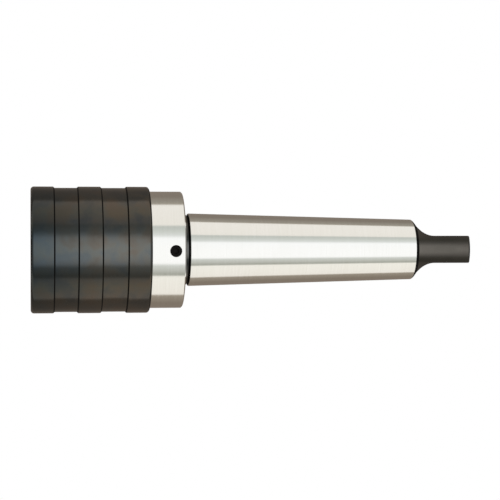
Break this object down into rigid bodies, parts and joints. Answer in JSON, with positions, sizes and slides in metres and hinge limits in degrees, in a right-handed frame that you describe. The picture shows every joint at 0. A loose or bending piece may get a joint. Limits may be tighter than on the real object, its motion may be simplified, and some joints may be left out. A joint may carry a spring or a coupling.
{
  "type": "tapping chuck",
  "caption": "Quick-change tapping chuck: taper shank with tang, ground hub, banded release sleeve, ball-locked adapter bore in a spindle that floats on springs.",
  "frame": {"origin": "on the chuck's axis at the gauge plane of the taper shank, which is where a machine spindle's taper bore meets its nose", "axes": "+Z along the axis from the nose to the tang, so the chuck hangs nose down as in a drilling machine; the tang's flats face +X and -X; the hub's first set screw faces -Y"},
  "size_m": [0.0546, 0.0546, 0.1912],
  "materials": {
    "ground_steel": "fine ground, bright",
    "ground_hub_steel": "fine ground, bright",
    "black_oxide": "black oxide over fine turning, oiled, satin",
    "black_screw": "black oxide, dull",
    "hardened_steel": "hardened and ground, darker than the shank",
    "turned_steel": "turned",
    "spring_steel": "drawn spring wire, oiled",
    "bearing_steel": "polished",
    "brass_pad": "as cut"
  },
  "bodies": {
    "shank": {"taper_shank": "ground_steel", "hub": "ground_hub_steel", "hub_set_screws": "black_screw", "set_screw_pads": "brass_pad", "ball_circlip": "spring_steel", "stop_bush": "turned_steel", "compression_spring": "spring_steel", "tension_spring": "spring_steel"},
    "spindle": {"spindle": "hardened_steel", "drive_balls": "bearing_steel", "front_snap_ring": "spring_steel", "draw_bolt": "black_screw", "bolt_washer": "turned_steel", "spring_nut": "turned_steel", "nut_lock_pin": "turned_steel", "compression_spring_washer": "turned_steel", "tension_spring_washer": "turned_steel", "sleeve_spring": "spring_steel"},
    "release_sleeve": {"release_sleeve": "black_oxide"},
    "locking_ball_1": {"locking_ball_1": "bearing_steel"},
    "locking_ball_2": {"locking_ball_2": "bearing_steel"},
    "locking_ball_3": {"locking_ball_3": "bearing_steel"}
  },
  "joints": [
    {"name": "length_compensation", "type": "slide", "parent": "shank", "child": "spindle", "axis": [0, 0, -1], "range_m": [-0.006, 0.008], "stiffness_N_per_m": 20000, "deforming": ["compression_spring", "tension_spring"]},
    {"name": "sleeve_release", "type": "slide", "parent": "spindle", "child": "release_sleeve", "axis": [0, 0, 1], "range_m": [0, 0.0036], "stiffness_N_per_m": 4000, "springref_m": -0.004, "deforming": ["sleeve_spring"]},
    {"name": "ball_lift_1", "type": "slide", "parent": "spindle", "child": "locking_ball_1", "axis": [0, 1, 0], "range_m": [0, 0.00144]},
    {"name": "ball_lift_2", "type": "slide", "parent": "spindle", "child": "locking_ball_2", "axis": [-0.866, -0.5, 0], "range_m": [0, 0.00144]},
    {"name": "ball_lift_3", "type": "slide", "parent": "spindle", "child": "locking_ball_3", "axis": [0.866, -0.5, 0], "range_m": [0, 0.00144]}
  ],
  "couplings": [
    {"joint": "ball_lift_1", "follows": "sleeve_release", "ratio": 0.4},
    {"joint": "ball_lift_2", "follows": "sleeve_release", "ratio": 0.4},
    {"joint": "ball_lift_3", "follows": "sleeve_release", "ratio": 0.4}
  ]
}
